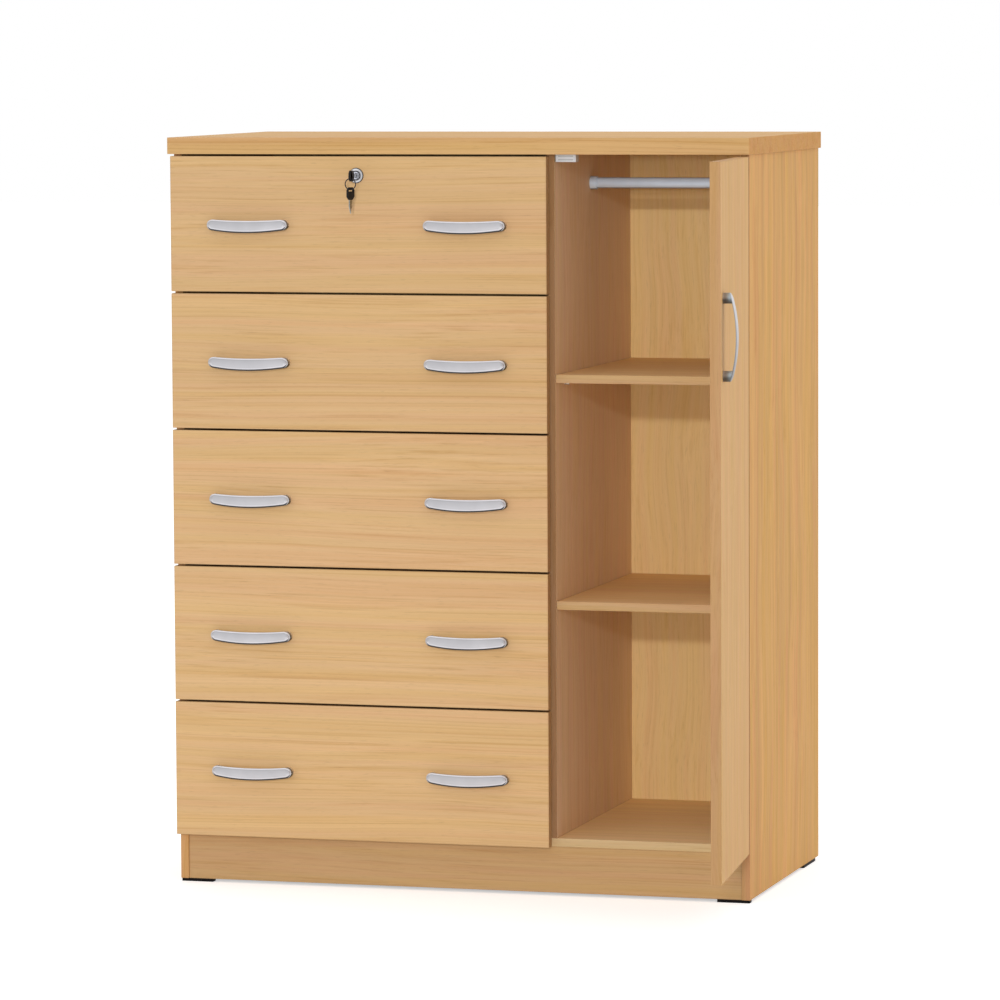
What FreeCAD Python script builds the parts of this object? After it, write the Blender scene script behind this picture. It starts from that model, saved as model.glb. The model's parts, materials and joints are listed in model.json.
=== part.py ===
import FreeCAD, Part
import os
import re

import Sketcher
from FreeCAD import Placement, Rotation, Vector

# Chifforobe: five drawers on the left, a wardrobe bay with one door on the right.
# Frame: +X to the right, +Y to the back, +Z up. The origin is on the floor, in the
# middle of the carcass, where the centre glide stands.

os.makedirs("parts", exist_ok=True)
doc = FreeCAD.newDocument("chifforobe")
sheet = doc.addObject("Spreadsheet::Sheet", "Sizes")

DRAWERS = 5
HINGES = 3

# Driving dimensions, in millimetres and degrees.
SIZES = {
    # carcass
    "width": 860.0,             # over the side panels
    "depth": 440.0,             # of the carcass
    "height": 1092.0,           # floor to the top's upper face
    "board": 12.0,              # sides, partition, bottom, shelves, plinth, drawer boxes
    "top_board": 24.0,
    "top_side_over": 4.0,       # top past the side panels
    "top_front_over": 18.0,     # top past the carcass front
    "partition_mid": 138.5,     # middle of the partition, right of the centre
    "plinth_rise": 67.5,        # height of the plinth boards
    "plinth_setback": 2.0,
    "rear_plinth_inset": 30.0,
    # glides
    "glide_rise": 4.5,
    "glide_inset": 1.0,         # front glides in from the side faces
    "front_glide_span": 48.0,
    "rear_glide_span": 75.0,
    "rear_glide_inset": 22.0,   # rear glides in from the back
    "centre_glide": 30.0,       # square pad
    # back panels
    "back_board": 3.0,
    "back_inset": 12.0,         # rear edge to the back panel
    "groove_deep": 4.0,
    "groove_slack": 0.2,        # groove wider than the panel in it
    "groove_end_gap": 0.5,      # panel edge short of the groove's floor
    # fronts
    "front_board": 15.0,
    "front_clear": 2.0,         # carcass front to the back of door and drawer fronts
    "front_gap": 3.0,           # between neighbouring fronts
    # wardrobe bay
    "lower_shelf_level": 415.0,
    "upper_shelf_level": 741.0,
    "shelf_setback": 2.0,
    "shelf_side_gap": 0.5,
    "shelf_back_gap": 1.0,
    "pin_across": 5.0,
    "pin_span": 15.0,
    "pin_bore_deep": 8.0,
    "pin_from_edge": 50.0,
    "rail_across": 16.0,
    "rail_wall": 1.2,
    "rail_drop": 46.0,          # ceiling to the rail's axis
    "rail_from_front": 200.0,
    "rail_end_gap": 0.3,
    "socket_across": 19.6,
    "socket_span": 10.0,
    "socket_floor": 3.0,
    "socket_slack": 0.3,
    "catch_long": 30.0,
    "catch_high": 11.0,
    "catch_deep": 15.0,
    "catch_from_partition": 2.0,
    "catch_gap": 0.3,           # catch to strike when the door is shut
    "strike_long": 20.0,
    "strike_high": 10.0,
    "strike_board": 1.2,
    "strike_below_edge": 1.0,
    # door hinges
    "door_open_angle": 96.0,    # how far the door stands open
    "pivot_from_edge": 5.5,     # hinge axis to the door's hinge edge
    "pivot_from_face": 6.25,    # hinge axis to the door's outer face
    "cup_across": 35.0,
    "cup_deep": 12.0,
    "cup_wall": 1.5,
    "cup_slack": 0.2,
    "cup_from_edge": 22.5,      # cup axis to the door's hinge edge
    "cup_lip": 0.3,             # cup rim and wings above the door's inner face
    "wing_reach": 13.0,         # wings past the cup, up and down
    "wing_wide": 14.0,
    "hinge_from_end": 100.0,
    "knuckle_in": 14.0,         # link pin from the hinge axis, into the carcass
    "knuckle_back": 12.0,       # link pin behind the hinge axis
    "link_long": 17.6,
    "link_board": 2.0,
    "link_high": 8.0,
    "link_barrel": 4.6,
    "link_shut_angle": 215.0,   # direction of the link with the door shut
    "link_turn_ratio": 0.733333,  # the link's turn to the door's
    "link_pin": 2.4,
    "link_play": 0.1,           # hole larger than the pin, across
    "ear_board": 2.8,
    "ear_gap": 0.2,
    "arm_wide": 5.0,
    "arm_long": 54.0,
    "arm_slot": 3.4,            # room behind the link pin
    "plate_board": 2.0,
    "plate_high": 50.0,
    "plate_long": 36.0,
    "plate_back": 22.0,         # link pin to the front edge of the plate
    # bow handles
    "handle_long": 122.0,       # over the posts
    "handle_strip_long": 119.0,
    "handle_ends": 16.0,        # strip's width at its ends
    "handle_upper_dip": 1.5,    # upper edge's middle below its ends
    "handle_lower_dip": 3.5,    # lower edge's middle below its ends
    "handle_reach": 21.0,       # bow's outer face at its middle
    "handle_end_reach": 11.5,   # bow's outer face at its ends
    "handle_strip": 2.6,
    "handle_post": 15.0,
    "handle_spacing": 327.0,    # between the two handles of one drawer
    "handle_drop": 1.0,         # below the middle of a drawer front
    "door_handle_from_edge": 25.0,
    "door_handle_below_top": 240.0,
    # drawer boxes
    "drawer_lift": 18.0,        # drawer box above the front's lower edge
    "drawer_side_high": 150.0,
    "drawer_box_long": 400.0,
    "drawer_side_gap": 3.0,
    "drawer_bottom_up": 10.0,
    "drawer_bottom_board": 3.0,
    "runner_high": 16.0,
    "runner_in": 7.0,           # runner strip inside the drawer side's groove
    "runner_end_gap": 0.5,
    "runner_play": 0.3,         # above and below the runner strip
    "runner_setback": 10.0,     # carcass front to the runner
    "runner_short": 8.0,        # runner's end to the back of the drawer box
    # lock
    "lock_below_edge": 27.5,
    "lock_flange": 22.0,
    "lock_flange_board": 2.2,
    "flange_groove": 1.6,       # around the plug
    "flange_groove_deep": 0.9,
    "lock_barrel": 18.4,
    "lock_bore_slack": 0.4,
    "lock_long": 20.0,          # barrel behind the flange
    "plug_across": 11.0,
    "plug_play": 0.1,           # housing bore larger than the plug, across
    "keyway_wide": 2.2,
    "keyway_high": 7.0,
    "cam_long": 40.0,
    "cam_wide": 12.0,
    "cam_board": 2.5,
    "cam_gap": 0.3,             # housing to cam
    "mortise_deep": 11.0,
    "mortise_side": 3.0,        # around the cam's swing
    # keys
    "key_bow_long": 18.0,
    "key_bow_wide": 15.5,
    "key_bow_board": 3.0,
    "key_bow_corner": 4.0,
    "key_slot_long": 11.0,
    "key_slot_wide": 3.8,
    "key_slot_in": 2.3,         # bow's end to the slot
    "key_blade_long": 20.0,
    "key_blade_wide": 6.2,
    "key_blade_board": 1.8,
    "key_standoff": 12.0,       # bow to the lock's front face
    "ring_across": 15.6,        # to the middle of the wire
    "ring_wire": 1.6,
    "ring_gap": 0.9,            # wire to the bar of the bow that it swings about
    "spare_gap": 0.3,           # wire to the spare key that hangs from it
    "spare_turn_angle": 20.0,   # spare key's twist about the vertical
}

COLUMN = "B"
for row, (alias, value) in enumerate(SIZES.items(), start=1):
    sheet.set(f"A{row}", alias)
    sheet.set(f"{COLUMN}{row}", str(value))
    sheet.setAlias(f"{COLUMN}{row}", alias)
doc.recompute()

nodes = []


# ---------------------------------------------------------------- expressions

def formula(text):
    """The text as an expression on the sheet: each size's name becomes its cell."""
    return re.sub(r"[a-z_]+", lambda m: f"Sizes.{m[0]}" if m[0] in SIZES else m[0], str(text))


def bind(thing, **sizes):
    """Bind properties of a thing to expressions. A double underscore stands for a dot."""
    for name, text in sizes.items():
        thing.setExpression(name.replace("__", "."), formula(text))


def value(text):
    """An expression's number, where a sketch needs a first place for a corner."""
    return float(sheet.evalExpression(formula(text)))


def place(thing, x=0, y=0, z=0, axis=None, angle=0):
    """Bind a thing's place, and its turn about an axis where it has one."""
    if axis is not None:
        thing.Placement = Placement(Vector(), Rotation(axis, 30))
        bind(thing, Placement__Rotation__Angle=angle)
    bind(thing, Placement__Base__x=x, Placement__Base__y=y, Placement__Base__z=z)
    return thing


# ------------------------------------------------------------------ primitives

def box(label, x, y, z):
    """A board between two expressions along each axis."""
    thing = doc.addObject("Part::Box", "Board")
    thing.Label = label
    bind(thing, Length=f"({x[1]}) - ({x[0]})", Width=f"({y[1]}) - ({y[0]})", Height=f"({z[1]}) - ({z[0]})")
    return place(thing, x[0], y[0], z[0])


AXIS_TURN = {"x": (Vector(0, 1, 0), 90), "y": (Vector(1, 0, 0), -90), "z": (Vector(0, 0, 1), 0)}


def rod(label, across, long, x, y, z, along="z"):
    """A cylinder that starts at a point and runs along +X, +Y or +Z."""
    thing = doc.addObject("Part::Cylinder", "Rod")
    thing.Label = label
    thing.Placement = Placement(Vector(), Rotation(*AXIS_TURN[along]))
    bind(thing, Radius=f"({across}) / 2", Height=long)
    return place(thing, x, y, z)


def fuse(label, things):
    thing = doc.addObject("Part::MultiFuse", "Fuse")
    thing.Label = label
    thing.Shapes = things
    thing.Refine = True
    return thing


def common(label, things):
    thing = doc.addObject("Part::MultiCommon", "Common")
    thing.Label = label
    thing.Shapes = things
    return thing


def cut(label, base, tools):
    """The base without its tools."""
    tool = tools[0] if len(tools) == 1 else fuse(f"{label}_tools", tools)
    base.Label = f"{label}_blank"
    thing = doc.addObject("Part::Cut", "Cut")
    thing.Label = label
    thing.Base = base
    thing.Tool = tool
    return thing


def group(label, things):
    """Separate solids that make one node."""
    thing = doc.addObject("Part::Compound", "Group")
    thing.Label = label
    thing.Links = things
    return thing


def node(thing):
    """Take a finished sub-part into the part."""
    nodes.append(thing)
    return thing


# -------------------------------------------------------------- PartDesign help

def plane_of(body, role):
    return next(f for f in body.Origin.OriginFeatures if f.Role == role)


def outline(body, name, role, points):
    """A closed sketch of straight lines whose corners are bound to expressions."""
    sketch = body.newObject("Sketcher::SketchObject", name)
    sketch.AttachmentSupport = [(plane_of(body, role), "")]
    sketch.MapMode = "FlatFace"
    spots = [Vector(value(x), value(y), 0) for x, y in points]
    count = len(spots)
    for i in range(count):
        sketch.addGeometry(Part.LineSegment(spots[i], spots[(i + 1) % count]), False)
    for i in range(count):
        sketch.addConstraint(Sketcher.Constraint("Coincident", i, 2, (i + 1) % count, 1))
    for i, (corner, texts) in enumerate(zip(spots, points)):
        for kind, number, text, axis in (
            ("DistanceX", corner.x, texts[0], -2),
            ("DistanceY", corner.y, texts[1], -1),
        ):
            if abs(number) < 1e-9:
                sketch.addConstraint(Sketcher.Constraint("PointOnObject", i, 1, axis))
            else:
                index = sketch.addConstraint(Sketcher.Constraint(kind, -1, 1, i, 1, number))
                bind(sketch, **{f"Constraints[{index}]": text})
    sketch.Visibility = False
    return sketch


def rectangle(body, name, role, x, y):
    return outline(body, name, role, [(x[0], y[0]), (x[1], y[0]), (x[1], y[1]), (x[0], y[1])])


def pad(body, sketch, long, midplane=False):
    feature = body.newObject("PartDesign::Pad", "Pad")
    feature.Profile = sketch
    feature.Midplane = midplane
    bind(feature, Length=long)
    doc.recompute()
    return feature


def pocket_through(body, sketch):
    """A pocket through all of the body, both ways from its sketch."""
    feature = body.newObject("PartDesign::Pocket", "Pocket")
    feature.Profile = sketch
    feature.Type = "ThroughAll"
    feature.Midplane = True
    doc.recompute()
    return feature


def new_body(label):
    body = doc.addObject("PartDesign::Body", "Body")
    body.Label = label
    return body


# ---------------------------------------------------------------- named places

LEFT, RIGHT = "(-width / 2)", "(width / 2)"
LEFT_IN, RIGHT_IN = "(board - width / 2)", "(width / 2 - board)"
FRONT, BACK = "(-depth / 2)", "(depth / 2)"
FLOOR = "glide_rise"
BOTTOM = "(glide_rise + plinth_rise)"
BAY_FLOOR = f"({BOTTOM} + board)"
CEILING = "(height - top_board)"
PART_LEFT, PART_RIGHT = "(partition_mid - board / 2)", "(partition_mid + board / 2)"
BACK_PANEL = (f"({BACK} - back_inset - back_board)", f"({BACK} - back_inset)")
BACK_GROOVE = (f"{BACK_PANEL[0]} - groove_slack / 2", f"{BACK_PANEL[1]} + groove_slack / 2")
FRONT_BACK_FACE = f"({FRONT} - front_clear)"
FRONT_FACE = f"({FRONT} - front_clear - front_board)"
FRONTS_TOP = f"({CEILING} - front_gap)"
DRAWER_FRONT_HIGH = f"(({FRONTS_TOP} - {BOTTOM} - {DRAWERS - 1} * front_gap) / {DRAWERS})"
DRAWER_RIGHT = "(partition_mid - front_gap / 2)"
DOOR_LEFT = "(partition_mid + front_gap / 2)"
DRAWER_MID = f"(({LEFT} + {DRAWER_RIGHT}) / 2)"


def front_bottom(number):
    """Lower edge of a drawer's front; drawer 1 is the top one."""
    return f"({BOTTOM} + {DRAWERS - number} * ({DRAWER_FRONT_HIGH} + front_gap))"


SHELF_LEVELS = {"lower_shelf": "lower_shelf_level", "upper_shelf": "upper_shelf_level"}
PIN_YS = (f"({FRONT} + pin_from_edge)", f"({BACK_PANEL[0]} - pin_from_edge)")
PIN_LEFT = f"({PART_RIGHT} - pin_bore_deep)"
PIN_RIGHT = f"({RIGHT_IN} + pin_bore_deep - pin_span)"


def pin_holes(side):
    """Blind bores for the shelf pins, in the partition or in the right side panel."""
    start = PIN_LEFT if side == "partition" else RIGHT_IN
    return [
        rod(f"{side}_pin_bore", "pin_across", "pin_bore_deep", start, y, f"{level} - pin_across / 2", "x")
        for level in SHELF_LEVELS.values()
        for y in PIN_YS
    ]


# --------------------------------------------------------------------- carcass

def side_panels():
    height = (FLOOR, CEILING)
    groove_left = box("groove", (f"{LEFT_IN} - groove_deep", LEFT_IN), BACK_GROOVE, (BOTTOM, CEILING))
    groove_right = box("groove", (RIGHT_IN, f"{RIGHT_IN} + groove_deep"), BACK_GROOVE, (BOTTOM, CEILING))
    left = box("left", (LEFT, LEFT_IN), (FRONT, BACK), height)
    right = box("right", (RIGHT_IN, RIGHT), (FRONT, BACK), height)
    node(cut("left_side_panel", left, [groove_left]))
    node(cut("right_side_panel", right, [groove_right] + pin_holes("side")))


def partition():
    panel = box("panel", (PART_LEFT, PART_RIGHT), (FRONT, BACK), (BAY_FLOOR, CEILING))
    left = box("groove", (PART_LEFT, f"{PART_LEFT} + groove_deep"), BACK_GROOVE, (BAY_FLOOR, CEILING))
    right = box("groove", (f"{PART_RIGHT} - groove_deep", PART_RIGHT), BACK_GROOVE, (BAY_FLOOR, CEILING))
    node(cut("partition_panel", panel, [left, right] + pin_holes("partition")))


def back_grooves(z):
    """Grooves for the two back panels, as long as the panels and their end gaps."""
    return [
        box("groove", (f"{start} - groove_deep", f"{end} + groove_deep"), BACK_GROOVE, z)
        for start, end in ((LEFT_IN, PART_LEFT), (PART_RIGHT, RIGHT_IN))
    ]


def bottom_panel():
    panel = box("panel", (LEFT_IN, RIGHT_IN), (FRONT, BACK), (BOTTOM, BAY_FLOOR))
    node(cut("bottom_panel", panel, back_grooves((f"{BAY_FLOOR} - groove_deep", BAY_FLOOR))))


def top_panel():
    """The top with its grooves and the slot that the lock's cam rises into."""
    body = new_body("top_blank")
    place(body, 0, 0, CEILING)
    edge_x = "(width / 2 + top_side_over)"
    face_y = (f"{FRONT} - top_front_over", BACK)
    face = rectangle(body, "TopOutline", "XY_Plane", (f"-{edge_x}", edge_x), face_y)
    pad(body, face, "top_board")
    mortise = box(
        "mortise",
        (f"{DRAWER_MID} - cam_long - mortise_side", f"{DRAWER_MID} + cam_wide / 2 + mortise_side"),
        (f"{CAM_FRONT} - mortise_side", f"{CAM_FRONT} + cam_board + mortise_side"),
        (CEILING, f"{CEILING} + mortise_deep"),
    )
    node(cut("top_panel", body, back_grooves((CEILING, f"{CEILING} + groove_deep")) + [mortise]))


def back_panels():
    reach = "(groove_deep - groove_end_gap)"
    height = (f"{BAY_FLOOR} - {reach}", f"{CEILING} + {reach}")
    node(box("left_back_panel", (f"{LEFT_IN} - {reach}", f"{PART_LEFT} + {reach}"), BACK_PANEL, height))
    node(box("right_back_panel", (f"{PART_RIGHT} - {reach}", f"{RIGHT_IN} + {reach}"), BACK_PANEL, height))


PLINTH_FRONT = (f"({FRONT} + plinth_setback)", f"({FRONT} + plinth_setback + board)")
PLINTH_REAR = (f"({BACK} - rear_plinth_inset - board)", f"({BACK} - rear_plinth_inset)")


def plinth():
    node(box("plinth_front", (LEFT_IN, RIGHT_IN), PLINTH_FRONT, (FLOOR, BOTTOM)))
    node(box("plinth_rear", (LEFT_IN, RIGHT_IN), PLINTH_REAR, (FLOOR, BOTTOM)))
    between = (PLINTH_FRONT[1], PLINTH_REAR[0])
    node(box("plinth_centre", ("-board / 2", "board / 2"), between, (FLOOR, BOTTOM)))


def floor_glides():
    front_start = f"({LEFT} + glide_inset)"
    rear_ys = (f"{BACK} - rear_glide_inset - rear_glide_span", f"{BACK} - rear_glide_inset")
    rise = ("0", "glide_rise")
    centre = ("-centre_glide / 2", "centre_glide / 2")
    pads = [
        box("glide", (front_start, f"{front_start} + front_glide_span"), PLINTH_FRONT, rise),
        box("glide", (f"-{front_start} - front_glide_span", f"-{front_start}"), PLINTH_FRONT, rise),
        box("glide", (LEFT, LEFT_IN), rear_ys, rise),
        box("glide", (RIGHT_IN, RIGHT), rear_ys, rise),
        box("glide", centre, centre, rise),
    ]
    node(group("floor_glides", pads))


def shelves():
    for label, level in SHELF_LEVELS.items():
        node(box(
            label,
            (f"{PART_RIGHT} + shelf_side_gap", f"{RIGHT_IN} - shelf_side_gap"),
            (f"{FRONT} + shelf_setback", f"{BACK_PANEL[0]} - shelf_back_gap"),
            (level, f"{level} + board"),
        ))
    pins = [
        rod("shelf_pin", "pin_across", "pin_span", x, y, f"{level} - pin_across / 2", "x")
        for level in SHELF_LEVELS.values()
        for y in PIN_YS
        for x in (PIN_LEFT, PIN_RIGHT)
    ]
    node(group("shelf_pins", pins))


def hanging_rail():
    y, z = f"({FRONT} + rail_from_front)", f"({CEILING} - rail_drop)"
    start = f"({PART_RIGHT} + socket_floor + rail_end_gap)"
    span = f"({RIGHT_IN} - {PART_RIGHT} - 2 * (socket_floor + rail_end_gap))"
    tube = rod("tube", "rail_across", span, start, y, z, "x")
    bore = rod("tube_bore", "rail_across - 2 * rail_wall", span, start, y, z, "x")
    node(cut("hanging_rail", tube, [bore]))
    sockets = []
    for x, pocket_x in (
        (PART_RIGHT, f"{PART_RIGHT} + socket_floor"),
        (f"{RIGHT_IN} - socket_span", f"{RIGHT_IN} - socket_span"),
    ):
        outer = rod("socket_outer", "socket_across", "socket_span", x, y, z, "x")
        pocket = rod("socket_pocket", "rail_across + socket_slack", "socket_span - socket_floor",
                     pocket_x, y, z, "x")
        sockets.append(cut("socket", outer, [pocket]))
    node(group("rail_sockets", sockets))


CATCH_LEFT = f"({PART_RIGHT} + catch_from_partition)"
CATCH_FACE = f"({FRONT_BACK_FACE} + strike_board + catch_gap)"


def magnetic_catch():
    node(box(
        "magnetic_catch",
        (CATCH_LEFT, f"{CATCH_LEFT} + catch_long"),
        (CATCH_FACE, f"{CATCH_FACE} + catch_deep"),
        (f"{CEILING} - catch_high", CEILING),
    ))


# ------------------------------------------------------------------------ door
# The door's pieces are drawn shut, about the hinge axis, and then placed open.

PIVOT_X = f"({RIGHT} - pivot_from_edge)"
PIVOT_Y = f"({FRONT_FACE} + pivot_from_face)"
DOOR_EDGE = "pivot_from_edge"
DOOR_FREE = f"({DOOR_LEFT} - {PIVOT_X})"
DOOR_OUTER, DOOR_INNER = "(-pivot_from_face)", "(front_board - pivot_from_face)"
CUP_X = "(pivot_from_edge - cup_from_edge)"
HINGE_STEP = f"(({FRONTS_TOP} - {BOTTOM} - 2 * hinge_from_end) / {HINGES - 1})"
HINGE_LEVELS = [f"({BOTTOM} + hinge_from_end + {i} * {HINGE_STEP})" for i in range(HINGES)]
KNUCKLE_X, KNUCKLE_Y = f"({PIVOT_X} - knuckle_in)", f"({PIVOT_Y} + knuckle_back)"
HALF_FORK = "(link_high / 2 + ear_gap + ear_board)"


def on_door(thing):
    return place(thing, PIVOT_X, PIVOT_Y, 0, Vector(0, 0, 1), "door_open_angle")


def arc_radius(half_chord, rise):
    return f"((({half_chord}) ^ 2 + ({rise}) ^ 2) / (2 * ({rise})))"


def bow_handle(label, x, y, z, upright=False):
    """A bow handle on a face that looks along -Y: two posts and a strip that bows out and dips a little
    in its middle."""
    half = "(handle_strip_long / 2 - handle_ends / 2)"
    post_x = "(handle_long / 2 - handle_post / 2)"
    tall = "(handle_ends + 2 * handle_lower_dip)"
    deep = "handle_reach"
    start = "-handle_reach"
    band = box("band", (f"-{half}", half), (start, "0"), (f"-{tall} / 2", "handle_ends / 2"))
    lower = arc_radius(half, "handle_lower_dip")
    below = rod("lower_edge", f"2 * {lower}", deep, 0, start, f"{lower} - {tall} / 2", "y")
    upper = arc_radius(half, "handle_upper_dip")
    above = rod("upper_edge", f"2 * {upper}", deep, 0, start,
                f"{upper} + handle_ends / 2 - handle_upper_dip", "y")
    ends = [rod("strip_end", "handle_ends", deep, x_end, start, 0, "y") for x_end in (f"-{half}", half)]
    plan = fuse("handle_plan", [cut("curved_band", common("band_blank", [band, below]), [above])] + ends)
    arc = arc_radius("handle_long / 2", "handle_reach - handle_end_reach")
    outer, post_limit, inner = (
        rod(name, f"2 * ({arc} - {inset})", tall, 0, f"{arc} - handle_reach", f"-{tall} / 2")
        for name, inset in (("bow_outer", "0"), ("post_limit", "handle_strip / 2"),
                            ("bow_inner", "handle_strip"))
    )
    strip = cut("bow_strip", common("bow_blank", [plan, outer]), [inner])
    pair = [rod("post", "handle_post", deep, x_end, start, 0, "y") for x_end in (f"-{post_x}", post_x)]
    handle = fuse(label, [strip, common("bow_posts", [fuse("post_pair", pair), post_limit])])
    if upright:
        turned = group(f"{label}_turned", [handle])
        turned.Placement = Placement(Vector(), Rotation(Vector(0, 1, 0), 90))
        return place(turned, x, y, z)
    return place(handle, x, y, z)


def hinge_cups():
    """The bores in the door and the cups that sit in them, with screw wings above and below."""
    bores, cups = [], []
    bottom = f"({DOOR_INNER} - cup_deep)"
    for z in HINGE_LEVELS:
        bores.append(rod("cup_bore", "cup_across + cup_slack", "cup_deep + cup_slack", CUP_X,
                         f"{bottom} - cup_slack", z, "y"))
        wing_z = "(cup_across / 2 + wing_reach)"
        wings = box("cup_wings", (f"{CUP_X} - wing_wide / 2", f"{CUP_X} + wing_wide / 2"),
                    (DOOR_INNER, f"{DOOR_INNER} + cup_lip"), (f"{z} - {wing_z}", f"{z} + {wing_z}"))
        outer = rod("cup_outer", "cup_across", "cup_deep + cup_lip", CUP_X, bottom, z, "y")
        hollow = rod("cup_hollow", "cup_across - 2 * cup_wall", "cup_deep + cup_lip - cup_wall", CUP_X,
                     f"{bottom} + cup_wall", z, "y")
        cups.append(cut("cup", fuse("cup_solid", [wings, outer]), [hollow]))
    return bores, cups


def door():
    bores, cups = hinge_cups()
    panel = box("door_blank", (DOOR_FREE, DOOR_EDGE), (DOOR_OUTER, DOOR_INNER), (BOTTOM, FRONTS_TOP))
    node(on_door(cut("door_panel", panel, bores)))
    node(on_door(group("hinge_cups", cups)))
    handle = bow_handle("door_bow", f"{DOOR_FREE} + door_handle_from_edge", DOOR_OUTER,
                        f"{FRONTS_TOP} - door_handle_below_top", upright=True)
    node(on_door(group("door_handle", [handle])))
    strike_mid = f"({CATCH_LEFT} + catch_long / 2 - {PIVOT_X})"
    strike_top = f"({FRONTS_TOP} - strike_below_edge)"
    strike = box(
        "strike",
        (f"{strike_mid} - strike_long / 2", f"{strike_mid} + strike_long / 2"),
        (DOOR_INNER, f"{DOOR_INNER} + strike_board"),
        (f"{strike_top} - strike_high", strike_top),
    )
    node(on_door(group("strike_plate", [strike])))


def hinge_arms():
    """Mounting plate, foot and forked arm of each hinge, on the right side panel."""
    arms = []
    arm_x = (f"{KNUCKLE_X} - arm_wide / 2", f"{KNUCKLE_X} + arm_wide / 2")
    plate_y = (f"{KNUCKLE_Y} + plate_back", f"{KNUCKLE_Y} + plate_back + plate_long")
    for z in HINGE_LEVELS:
        fork_z = (f"{z} - {HALF_FORK}", f"{z} + {HALF_FORK}")
        solid = fuse("arm_solid", [
            rod("arm_nose", "arm_wide", f"2 * {HALF_FORK}", KNUCKLE_X, KNUCKLE_Y, fork_z[0]),
            box("arm_bar", arm_x, (KNUCKLE_Y, f"{KNUCKLE_Y} + arm_long"), fork_z),
            box("arm_foot", (KNUCKLE_X, RIGHT_IN), plate_y, fork_z),
            box("arm_plate", (f"{RIGHT_IN} - plate_board", RIGHT_IN), plate_y,
                (f"{z} - plate_high / 2", f"{z} + plate_high / 2")),
        ])
        half_slot = "(link_high / 2 + ear_gap)"
        slot = box("arm_slot", (f"{KNUCKLE_X} - arm_wide", f"{KNUCKLE_X} + arm_wide"),
                   (f"{KNUCKLE_Y} - arm_wide", f"{KNUCKLE_Y} + arm_slot"),
                   (f"{z} - {half_slot}", f"{z} + {half_slot}"))
        hole = rod("arm_hole", "link_pin + link_play", f"2 * {HALF_FORK}", KNUCKLE_X, KNUCKLE_Y, fork_z[0])
        arms.append(cut("arm", solid, [slot, hole]))
    node(group("hinge_arms", arms))


def hinge_links():
    """The link and pin that join each arm to its cup."""
    links = []
    for z in HINGE_LEVELS:
        links.append(fuse("link", [
            box("link_strip", ("0", "link_long"), ("-link_board / 2", "link_board / 2"),
                (f"{z} - link_high / 2", f"{z} + link_high / 2")),
            rod("link_barrel", "link_barrel", "link_high", 0, 0, f"{z} - link_high / 2"),
            rod("link_pin", "link_pin", f"2 * {HALF_FORK}", 0, 0, f"{z} - {HALF_FORK}"),
        ]))
    angle = "link_shut_angle + link_turn_ratio * door_open_angle"
    node(place(group("hinge_links", links), KNUCKLE_X, KNUCKLE_Y, 0, Vector(0, 0, 1), angle))


# --------------------------------------------------------------------- drawers

BOX_LEFT, BOX_RIGHT = f"({LEFT_IN} + drawer_side_gap)", f"({PART_LEFT} - drawer_side_gap)"
BOX_BACK = f"({FRONT_BACK_FACE} + drawer_box_long)"
RUNNER_Y = (f"({FRONT} + runner_setback)", f"({BOX_BACK} - runner_short)")
GROOVE_IN = "(runner_in + runner_end_gap)"


def runner_middle(number):
    return f"({front_bottom(number)} + drawer_lift + drawer_side_high / 2)"


def cabinet_runners():
    """Strips on the left side panel and the partition that the drawers slide on."""
    strips = []
    for number in range(1, DRAWERS + 1):
        middle = runner_middle(number)
        span_z = (f"{middle} - runner_high / 2", f"{middle} + runner_high / 2")
        strips.append(box("runner", (LEFT_IN, f"{BOX_LEFT} + runner_in"), RUNNER_Y, span_z))
        strips.append(box("runner", (f"{BOX_RIGHT} - runner_in", PART_LEFT), RUNNER_Y, span_z))
    node(group("cabinet_runners", strips))


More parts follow.
